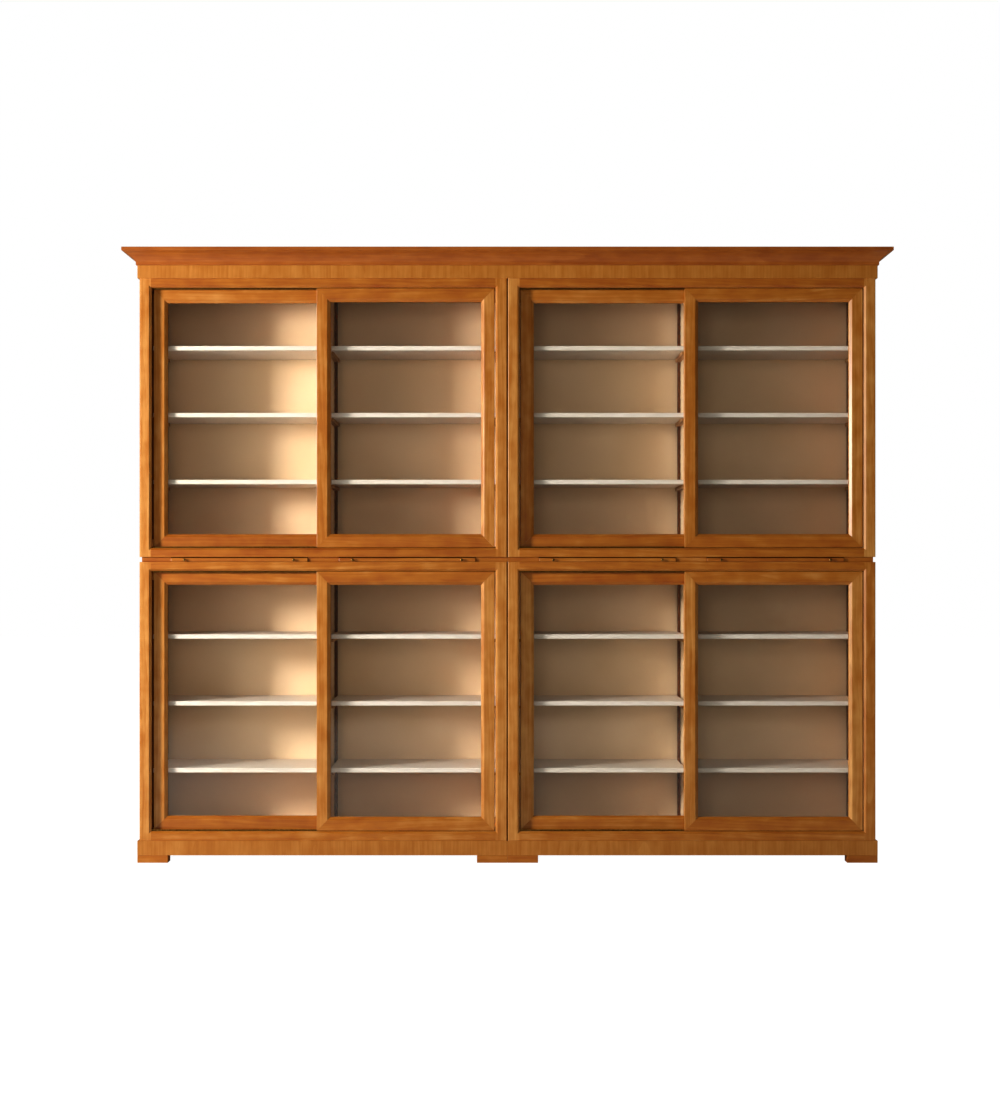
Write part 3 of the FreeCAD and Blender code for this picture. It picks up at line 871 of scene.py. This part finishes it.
@dataclass
class Carcass:
    """The fixed boards of one case: panels, face frame, divider and shelves."""

    name: str
    palette: Palette
    side_thickness: float = 30 * MM
    rail_height: float = 36 * MM
    stile_width: float = 46 * MM
    chamfer: float = 8 * MM
    outer_round: float = 4 * MM
    shelf_ease: float = 1.6 * MM

    def side_panels(self) -> None:
        """Build two upright panels."""
        node = f"{self.name}_side_panels"
        low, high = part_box(node)
        work = Joinery(node)
        work.board(low, Vector((low.x + self.side_thickness, high.y, high.z)), Axis.Z)
        work.board(Vector((high.x - self.side_thickness, low.y, low.z)), high, Axis.Z)
        work.finish((self.palette.cherry,), "root")

    def top_and_bottom(self) -> None:
        """Build the top and bottom boards."""
        node = f"{self.name}_top_and_bottom"
        low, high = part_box(node)
        work = Joinery(node)
        work.board(low, Vector((high.x, high.y, low.z + self.rail_height)), Axis.X)
        work.board(Vector((low.x, low.y, high.z - self.rail_height)), high, Axis.X)
        work.finish((self.palette.cherry,), "root")

    def back_panel(self) -> None:
        """Build the back panel, buff lacquer in front and bare behind."""
        node = f"{self.name}_back_panel"
        work = Joinery(node)
        work.board(*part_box(node), Axis.Z, 0.5 * MM, facing(Vector((0, -1, 0))))
        work.finish((self.palette.backer, self.palette.panel_cream), "root")

    def centre_divider(self) -> None:
        """Build the centre divider."""
        node = f"{self.name}_centre_divider"
        work = Joinery(node)
        work.board(*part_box(node), Axis.Z)
        work.finish((self.palette.panel_cream,), "root")

    def shelves(self) -> None:
        """Build six shelves with rounded front edges."""
        node = f"{self.name}_shelves"
        work = Joinery(node)
        for low, high in separate_boxes(node):
            work.board(low, high, Axis.X, self.shelf_ease)
        work.finish((self.palette.cream,), "root")

    def stile(self, low: Vector, high: Vector, outer_x: float, inwards: int) -> bmesh.types.BMesh:
        """Make a stile with a round outer arris and a chamfer mitred to those of the rails.

        Args:
            low: lowest corner of the face frame.
            high: highest corner of the face frame.
            outer_x: X of the stile's outer face.
            inwards: 1 if the opening lies towards +X, -1 if it lies towards -X.

        Returns:
            The stile as a bmesh in the row frame.
        """
        depth = high.y - low.y
        sight, cut, turn = self.stile_width, self.chamfer, self.outer_round
        rounding = [
            (turn * (1 - math.cos(angle)), turn * (1 - math.sin(angle)))
            for angle in (math.radians(step * 22.5) for step in range(5))
        ]
        sill, lintel = low.z + self.rail_height, high.z - self.rail_height
        levels = (
            (low.z, False), (sill - cut, False), (sill, True), (lintel, True),
            (lintel + cut, False), (high.z, False),
        )
        stile = bmesh.new()
        rings = []
        for level, chamfered in levels:
            arris = (sight, cut) if chamfered else (sight, 0.0)
            section = [
                (0.0, depth), *rounding, (sight - cut, 0.0), arris, (sight, cut), (sight, depth),
            ]
            rings.append([
                stile.verts.new((outer_x + inwards * across, low.y + back, level))
                for across, back in section
            ])
        count = len(rings[0])
        mitre = count - 4
        chamfer_starts, chamfer_ends = 1, 3
        for span, (lower, upper) in enumerate(zip(rings, rings[1:])):
            for index in range(count):
                near, far = index, (index + 1) % count
                if index == mitre and span == chamfer_starts:
                    stile.faces.new((lower[near], lower[far], upper[far]))
                    stile.faces.new((lower[near], upper[far], upper[near]))
                elif index == mitre and span == chamfer_ends:
                    stile.faces.new((lower[near], lower[far], upper[near]))
                    stile.faces.new((lower[far], upper[far], upper[near]))
                else:
                    stile.faces.new((lower[near], lower[far], upper[far], upper[near]))
        stile.faces.new(rings[0])
        stile.faces.new(rings[-1])
        bmesh.ops.remove_doubles(stile, verts=stile.verts, dist=0.001 * MM)
        bmesh.ops.recalc_face_normals(stile, faces=stile.faces)
        return stile

    def face_frame(self) -> None:
        """Build two stiles and two rails, chamfered together around the opening."""
        node = f"{self.name}_face_frame"
        low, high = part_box(node)
        depth = high.y - low.y
        width, height = self.stile_width, self.rail_height
        work = Joinery(node)
        for outer_x, inwards in ((low.x, 1), (high.x, -1)):
            work.add(self.stile(low, high, outer_x, inwards), Axis.Z)
        rail = (
            (0.0, 0.0), (height - self.chamfer, 0.0), (height, self.chamfer), (height, depth),
            (0.0, depth),
        )
        for level, upwards in ((low.z, 1), (high.z, -1)):
            place = Matrix(
                ((0, 0, 1, low.x + width), (0, 1, 0, low.y), (upwards, 0, 0, level), (0, 0, 0, 1))
            )
            work.add(run_moulding(rail, place, high.x - low.x - 2 * width, 0.4 * MM), Axis.X)
        work.finish((self.palette.cherry,), "root")

    def build(self) -> None:
        """Build every fixed board of the case."""
        self.side_panels()
        self.top_and_bottom()
        self.back_panel()
        self.centre_divider()
        self.shelves()
        self.face_frame()


@dataclass
class SlidingDoor:
    """One sliding door: a mitred frame with a bevelled sight edge, glazing beads and glass."""

    case: str
    door: str
    palette: Palette
    member_width: float = 54 * MM
    bevel_width: float = 12 * MM
    bevel_depth: float = 10 * MM
    rebate_width: float = 10 * MM
    rebate_depth: float = 10 * MM
    groove_width: float = 3.4 * MM
    groove_depth: float = 4 * MM
    bead_width: float = 9 * MM
    bead_depth: float = 6 * MM
    mitre_gap: float = 0.12 * MM
    member_ease: float = 1.4 * MM
    bead_ease: float = 0.8 * MM

    def section(self, thickness: float, grooved: bool) -> list[tuple[float, float]]:
        """Give a member's section, from the outer edge inwards and from the front back.

        Args:
            thickness: the door's thickness, in metres.
            grooved: whether the outer edge has the groove that runs on a track.

        Returns:
            Corners in metres.
        """
        sight = self.member_width
        back = thickness - self.rebate_depth
        corners = [
            (0.0, 0.0), (sight - self.bevel_width, 0.0), (sight, self.bevel_depth), (sight, back),
            (sight - self.rebate_width, back), (sight - self.rebate_width, thickness),
            (0.0, thickness),
        ]
        if grooved:
            near = (thickness - self.groove_width) / 2
            far = near + self.groove_width
            corners += [
                (0.0, far), (self.groove_depth, far), (self.groove_depth, near), (0.0, near),
            ]
        return corners

    def members(self, work: Joinery, low: Vector, high: Vector) -> None:
        """Add two stiles and two rails, mitred at the corners.

        Args:
            work: the piece that takes them.
            low: lowest corner of the door frame.
            high: highest corner of the door frame.
        """
        thickness = high.y - low.y
        width, height = high.x - low.x, high.z - low.z
        for corner_x, inwards in ((low.x, 1), (high.x, -1)):
            place = Matrix(
                ((inwards, 0, 0, corner_x), (0, 1, 0, low.y), (0, 0, 1, low.z), (0, 0, 0, 1))
            )
            stile = run_moulding(self.section(thickness, False), place, height, self.member_ease)
            shift = Vector((inwards * self.mitre_gap, 0, 0))
            saw(stile, Vector((corner_x, 0, low.z)) - shift, Vector((inwards, 0, -1)))
            saw(stile, Vector((corner_x, 0, high.z)) - shift, Vector((inwards, 0, 1)))
            work.add(stile, Axis.Z)
        for level, inwards in ((low.z, 1), (high.z, -1)):
            place = Matrix(
                ((0, 0, 1, low.x), (0, 1, 0, low.y), (inwards, 0, 0, level), (0, 0, 0, 1))
            )
            rail = run_moulding(self.section(thickness, True), place, width, self.member_ease)
            shift = Vector((0, 0, inwards * self.mitre_gap))
            saw(rail, Vector((low.x, 0, level)) - shift, Vector((-1, 0, inwards)))
            saw(rail, Vector((high.x, 0, level)) - shift, Vector((1, 0, inwards)))
            work.add(rail, Axis.X)

    def beads(self, work: Joinery, low: Vector, high: Vector) -> None:
        """Add four glazing beads behind the glass.

        Args:
            work: the piece that takes them.
            low: lowest corner of the door frame.
            high: highest corner of the door frame.
        """
        front = high.y - self.bead_depth
        reach = self.member_width - self.bead_width
        inner_low = Vector((low.x + reach, front, low.z + reach))
        inner_high = Vector((high.x - reach, high.y, high.z - reach))
        wide, ease = self.bead_width, self.bead_ease
        left, right = inner_low.x, inner_high.x
        bottom, top = inner_low.z, inner_high.z
        for start, end in ((left, left + wide), (right - wide, right)):
            work.board(
                Vector((start, inner_low.y, bottom)), Vector((end, inner_high.y, top)),
                Axis.Z, ease,
            )
        for start, end in ((bottom, bottom + wide), (top - wide, top)):
            work.board(
                Vector((left + wide, inner_low.y, start)),
                Vector((right - wide, inner_high.y, end)), Axis.X, ease,
            )

    def build(self) -> None:
        """Build the door's frame and dress its glass."""
        body = f"{self.case}_{self.door}_door"
        node = f"{body}_frame"
        low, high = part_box(node)
        work = Joinery(node)
        self.members(work, low, high)
        self.beads(work, low, high)
        work.finish((self.palette.cherry,), body)
        pane = dress(f"{body}_glass", self.palette.glass)
        pane.visible_shadow = False


@dataclass
class ReadingBand:
    """The band between the tiers of one column: guide blocks, two pull-out boards, knobs."""

    side: str
    palette: Palette
    rail_depth: float = 20 * MM
    side_gap: float = 1 * MM
    board_ease: float = 3 * MM
    knob_steps: int = 32
    head_steps: int = 8
    # radius as a share of the widest, and height as a share of the length
    knob_foot: tuple[tuple[float, float], ...] = (
        (0.70, 0.0), (0.70, 0.08), (0.58, 0.15), (0.42, 0.25), (0.42, 0.40),
    )
    head_centre: float = 0.72
    head_start: float = -62.0
    head_sweep: float = 152.0

    def guide_frame(self) -> None:
        """Build the three guide blocks and the back rail."""
        node = f"{self.side}_band_frame"
        low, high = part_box(node)
        rail_front = high.y - self.rail_depth
        work = Joinery(node)
        start = low.x
        for hand in HANDS:
            board_low, board_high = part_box(f"{self.side}_column_{hand}_reading_board")
            end = board_low.x - self.side_gap
            work.board(Vector((start, low.y, low.z)), Vector((end, rail_front, high.z)), Axis.X)
            start = board_high.x + self.side_gap
        work.board(Vector((start, low.y, low.z)), Vector((high.x, rail_front, high.z)), Axis.X)
        work.board(Vector((low.x, rail_front, low.z)), high, Axis.X)
        work.finish((self.palette.cherry,), "root")

    def reading_board(self, hand: str) -> None:
        """Build one pull-out board.

        Args:
            hand: which board of the column, left or right.
        """
        node = f"{self.side}_column_{hand}_reading_board"
        work = Joinery(node)
        work.board(*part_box(node), Axis.X, self.board_ease)
        work.finish((self.palette.cherry,), node)

    def knob_outline(self, radius: float, length: float) -> list[tuple[float, float]]:
        """Give the turned outline of a knob as radius and height above its face.

        Args:
            radius: the knob's largest radius, in metres.
            length: the knob's length, in metres.

        Returns:
            Points from the rim of the base to the centre of the front.
        """
        outline = [(out * radius, up * length) for out, up in self.knob_foot]
        centre = self.head_centre * length
        half = (1 - self.head_centre) * length
        for step in range(self.head_steps + 1):
            angle = math.radians(self.head_start + step * self.head_sweep / self.head_steps)
            outline.append((radius * max(math.cos(angle), 0.0), centre + half * math.sin(angle)))
        return outline

    def knobs(self, hand: str) -> None:
        """Build the two turned knobs on one board.

        Args:
            hand: which board of the column, left or right.
        """
        body = f"{self.side}_column_{hand}_reading_board"
        node = f"{body}_knobs"
        low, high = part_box(node)
        radius = (high.z - low.z) / 2
        length = high.y - low.y
        both = bmesh.new()
        for centre_x in (low.x + radius, high.x - radius):
            foot = Vector((centre_x, high.y, (low.z + high.z) / 2))
            knob = bmesh.new()
            verts = [
                knob.verts.new(foot + Vector((out, -rise, 0)))
                for out, rise in self.knob_outline(radius, length)
            ]
            edges = [knob.edges.new(pair) for pair in zip(verts, verts[1:])]
            bmesh.ops.spin(
                knob, geom=verts + edges, cent=foot, axis=(0, 1, 0), angle=2 * math.pi,
                steps=self.knob_steps, use_merge=True,
            )
            bmesh.ops.remove_doubles(knob, verts=knob.verts, dist=0.005 * MM)
            rim = [edge for edge in knob.edges if edge.is_boundary]
            bmesh.ops.contextual_create(knob, geom=rim)
            bmesh.ops.recalc_face_normals(knob, faces=knob.faces)
            for face in knob.faces:
                face.smooth = True
            absorb(both, knob)
        piece = stand_in(node, both, (self.palette.knob,), body)
        piece.data.set_sharp_from_angle(angle=math.radians(40))

    def build(self) -> None:
        """Build the band of one column."""
        self.guide_frame()
        for hand in HANDS:
            self.reading_board(hand)
            self.knobs(hand)


@dataclass
class Cornice:
    """The top of the bookcase: a veneered frieze, a mitred crown moulding and a dust board."""

    palette: Palette
    board: float = 22 * MM
    crown_seat: float = 18 * MM
    crown_foot: float = 5 * MM
    crown_foot_height: float = 13 * MM
    crown_fillet: float = 14 * MM
    hollow: float = 4.2 * MM
    hollow_steps: int = 8

    def frieze(self) -> None:
        """Build the frieze box with upright veneer in front and at the sides."""
        node = "frieze"
        low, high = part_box(node)
        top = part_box("crown_moulding")[0].z
        work = Joinery(node)
        front_back = low.y + self.board
        work.board(low, Vector((high.x, front_back, top)), Axis.Z, 0.8 * MM)
        for start, end in ((low.x, low.x + self.board), (high.x - self.board, high.x)):
            work.board(Vector((start, front_back, low.z)), Vector((end, high.y, top)), Axis.Z)
        work.board(
            Vector((low.x + self.board, high.y - self.board, low.z)),
            Vector((high.x - self.board, high.y, high.z)), Axis.X,
            second_finish=lambda normal: True,
        )
        work.finish((self.palette.veneer, self.palette.cherry), "root")

    def crown_section(self, projection: float, height: float) -> list[tuple[float, float]]:
        """Give the crown's section as distance out from the frieze and height.

        Args:
            projection: how far the crown stands out from the frieze.
            height: the crown's height.

        Returns:
            Corners in metres, with the hollow as an arc.
        """
        start = Vector((self.crown_foot, self.crown_foot_height))
        end = Vector((projection, height - self.crown_fillet))
        chord = end - start
        radius = (chord.length ** 2 / 4 + self.hollow ** 2) / (2 * self.hollow)
        inwards = Vector((-chord.y, chord.x)).normalized()
        centre = (start + end) / 2 - inwards * (radius - self.hollow)
        first = start - centre
        sweep = first.angle_signed(end - centre)
        arc = [
            centre + Matrix.Rotation(-sweep * step / self.hollow_steps, 2) @ first
            for step in range(self.hollow_steps + 1)
        ]
        section = [(-self.crown_seat, 0.0), (self.crown_foot, 0.0)]
        section += [(point.x, point.y) for point in arc]
        return section + [(projection, height), (-self.crown_seat, height)]

    def crown(self) -> None:
        """Build the front length and two returns of the crown, mitred at the corners."""
        node = "crown_moulding"
        low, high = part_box(node)
        face_low, face_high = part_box("frieze")
        projection = face_low.y - low.y
        section = self.crown_section(projection, high.z - low.z)
        work = Joinery(node)
        place = Matrix(
            ((0, 0, 1, low.x), (-1, 0, 0, face_low.y), (0, 1, 0, low.z), (0, 0, 0, 1))
        )
        front = run_moulding(section, place, high.x - low.x, 0.8 * MM)
        saw(front, Vector((low.x, low.y, 0)), Vector((-1, 1, 0)))
        saw(front, Vector((high.x, low.y, 0)), Vector((1, 1, 0)))
        work.add(front, Axis.X)
        for face_x, corner_x, outwards in ((face_low.x, low.x, -1), (face_high.x, high.x, 1)):
            place = Matrix(
                ((outwards, 0, 0, face_x), (0, 0, 1, low.y), (0, 1, 0, low.z), (0, 0, 0, 1))
            )
            side = run_moulding(section, place, high.y - low.y, 0.8 * MM)
            saw(side, Vector((corner_x, low.y, 0)), Vector((-outwards, -1, 0)))
            work.add(side, Axis.Y)
        # the crown wears the darker cherry copy, which is painted shade
        piece = work.finish((self.palette.crown_cherry_with_painted_shade,), "root")
        for polygon in piece.data.polygons:
            polygon.use_smooth = True
        piece.data.set_sharp_from_angle(angle=math.radians(15))

    def dust_board(self) -> None:
        """Build the board that closes the top inside the crown."""
        node = "cornice_top_board"
        work = Joinery(node)
        work.board(*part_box(node), Axis.X)
        work.finish((self.palette.backer,), "root")

    def build(self) -> None:
        """Build the frieze, crown and dust board."""
        self.frieze()
        self.crown()
        self.dust_board()


@dataclass
class Base:
    """What the bookcase stands on: a veneered plinth under each column, on block feet."""

    palette: Palette
    board: float = 22 * MM
    foot_width: float = 122 * MM
    foot_depth: float = 48 * MM
    plinth_ease: float = 0.5 * MM
    foot_ease: float = 1.5 * MM

    def plinth(self, side: str) -> None:
        """Build the four boards of one plinth.

        Args:
            side: which column it carries, left or right.
        """
        node = f"{side}_plinth"
        low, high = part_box(node)
        front_back = low.y + self.board
        back_front = high.y - self.board
        work = Joinery(node)
        for start, end in ((low.y, front_back), (back_front, high.y)):
            work.board(
                Vector((low.x, start, low.z)), Vector((high.x, end, high.z)), Axis.Z,
                self.plinth_ease,
            )
        for start, end in ((low.x, low.x + self.board), (high.x - self.board, high.x)):
            work.board(
                Vector((start, front_back, low.z)), Vector((end, back_front, high.z)), Axis.Z,
                self.plinth_ease,
            )
        work.finish((self.palette.veneer,), "root")

    def feet(self) -> None:
        """Build the eight block feet, under the corners of the plinths."""
        node = "block_feet"
        foot_low, foot_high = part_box(node)
        work = Joinery(node)
        for side in COLUMNS:
            low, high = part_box(f"{side}_plinth")
            for left in (low.x, high.x - self.foot_width):
                for front in (low.y, high.y - self.foot_depth):
                    corner = Vector((left, front, foot_low.z))
                    size = Vector((self.foot_width, self.foot_depth, foot_high.z - foot_low.z))
                    work.board(corner, corner + size, Axis.X, self.foot_ease)
        work.finish((self.palette.cherry,), "root")

    def build(self) -> None:
        """Build both plinths and all the feet."""
        for side in COLUMNS:
            self.plinth(side)
        self.feet()


@dataclass
class ShelfHardware:
    """The saw-tooth standards, their cleats and the door tracks, which keep their CAD shape."""

    palette: Palette

    def build(self) -> None:
        """Dress the three kinds of hardware."""
        dress("shelf_standards", self.palette.standard)
        dress("shelf_cleats", self.palette.cleat)
        dress("door_tracks", self.palette.track)


# ---------------------------------------------------------------- studio


@dataclass(frozen=True)
class SoftLamp:
    """A rectangular lamp that faces the bookcase, out of sight and not seen through its glass."""

    name: str
    place: tuple[float, float, float]
    size: tuple[float, float]
    power: float
    colour: str
    mirrored: bool

    def hang(self, aim: Vector) -> None:
        """Hang the lamp and turn it towards the bookcase.

        Args:
            aim: the point that it faces.
        """
        data = bpy.data.lights.new(self.name, "AREA")
        data.shape = "RECTANGLE"
        data.size, data.size_y = self.size
        data.energy = self.power
        data.color = linear(self.colour)[:3]
        lamp = bpy.data.objects.new(self.name, data)
        lamp.location = self.place
        lamp.rotation_mode = "QUATERNION"
        lamp.rotation_quaternion = (aim - lamp.location).to_track_quat("-Z", "Y")
        lamp.visible_camera = False
        lamp.visible_transmission = False
        lamp.visible_glossy = self.mirrored
        bpy.context.scene.collection.objects.link(lamp)


@dataclass
class Studio:
    """The camera, soft lamps at the left, in front and behind, an even fill and a pale floor."""

    eye_height: float = 1.19
    eye_distance: float = 6.5
    lens: float = 52.3
    shift: tuple[float, float] = (-0.0067, 0.0049)
    side_lamp: SoftLamp = SoftLamp(
        "side_lamp", place=(-4.9, -3.0, 2.15), size=(0.7, 0.9), power=330.0, colour="#FFF9F3",
        mirrored=True,
    )
    front_lamp: SoftLamp = SoftLamp(
        "front_lamp", place=(-0.4, -6.2, 2.0), size=(2.0, 2.0), power=52.0, colour="#FFF3E4",
        mirrored=False,
    )
    rear_lamp: SoftLamp = SoftLamp(
        "rear_lamp", place=(2.6, 6.0, 3.8), size=(3.0, 3.0), power=260.0, colour="#FFF6EA",
        mirrored=False,
    )
    fill_strength: float = 0.12
    fill_colour: str = "#FFF3D6"
    floor_size: float = 40.0

    def camera(self, front: float) -> None:
        """Stand a level camera on the centre line.

        Args:
            front: Y of the cases' front faces.
        """
        data = bpy.data.cameras.new("camera")
        data.lens = self.lens
        data.sensor_width = 36.0
        data.shift_x, data.shift_y = self.shift
        data.clip_start = 0.1
        data.clip_end = 100.0
        eye = bpy.data.objects.new("camera", data)
        eye.location = (0.0, front - self.eye_distance, self.eye_height)
        eye.rotation_euler = (math.radians(90), 0.0, 0.0)
        bpy.context.scene.collection.objects.link(eye)
        bpy.context.scene.camera = eye

    def world(self) -> None:
        """Show a white surround and light the room with only a little of it."""
        world = bpy.data.worlds.new("white_surround")
        world.use_nodes = True
        tree = world.node_tree
        tree.nodes.clear()
        seen = add_node(tree, "Background", {"Color": (1, 1, 1, 1), "Strength": 1.0})
        fill = add_node(
            tree, "Background",
            {"Color": linear(self.fill_colour), "Strength": self.fill_strength},
        )
        both = shown_to_camera(tree, fill, seen)
        output = tree.nodes.new("ShaderNodeOutputWorld")
        tree.links.new(both.outputs[0], output.inputs["Surface"])
        bpy.context.scene.world = world

    def floor(self) -> None:
        """Lay a pale painted floor that returns light to the lower cases."""
        plane = bmesh.new()
        bmesh.ops.create_grid(plane, x_segments=1, y_segments=1, size=self.floor_size / 2)
        mesh = bpy.data.meshes.new("studio_floor")
        plane.to_mesh(mesh)
        plane.free()
        floor = bpy.data.objects.new("studio_floor", mesh)
        bpy.context.scene.collection.objects.link(floor)
        material, tree = blank_material("pale_floor_paint")
        matt = add_node(tree, "BsdfDiffuse", {"Color": (0.75, 0.74, 0.72, 1)})
        dim = add_node(tree, "BsdfDiffuse", {"Color": (0.14, 0.14, 0.14, 1)})
        glow = add_node(tree, "Emission", {"Color": (1, 1, 1, 1), "Strength": 1.0})
        shown = add_node(tree, "AddShader", {0: dim.outputs[0], 1: glow.outputs[0]})
        finish_material(tree, shown_to_camera(tree, matt, shown))
        mesh.materials.append(material)

    def build(self, low: Vector, high: Vector) -> None:
        """Set up the studio round the bookcase.

        Args:
            low: lowest corner of the CAD box.
            high: highest corner of the CAD box.
        """
        scene = bpy.context.scene
        scene.view_settings.view_transform = "Standard"
        scene.view_settings.gamma = 0.8
        self.camera(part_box("upper_left_face_frame")[0].y)
        for lamp in (self.side_lamp, self.front_lamp, self.rear_lamp):
            lamp.hang((low + high) / 2)
        self.world()
        self.floor()


def main() -> None:
    """Build the studio and then the bookcase from the base up."""
    logging.basicConfig(level=logging.INFO, format="%(name)s: %(message)s")
    Studio().build(*CAD_BOX)
    palette = Palette()
    Base(palette).build()
    for case in CASES:
        Carcass(case, palette).build()
        for door in DOORS:
            SlidingDoor(case, door, palette).build()
    ShelfHardware(palette).build()
    for side in COLUMNS:
        ReadingBand(side, palette).build()
    Cornice(palette).build()


if __name__ == "__main__":
    main()
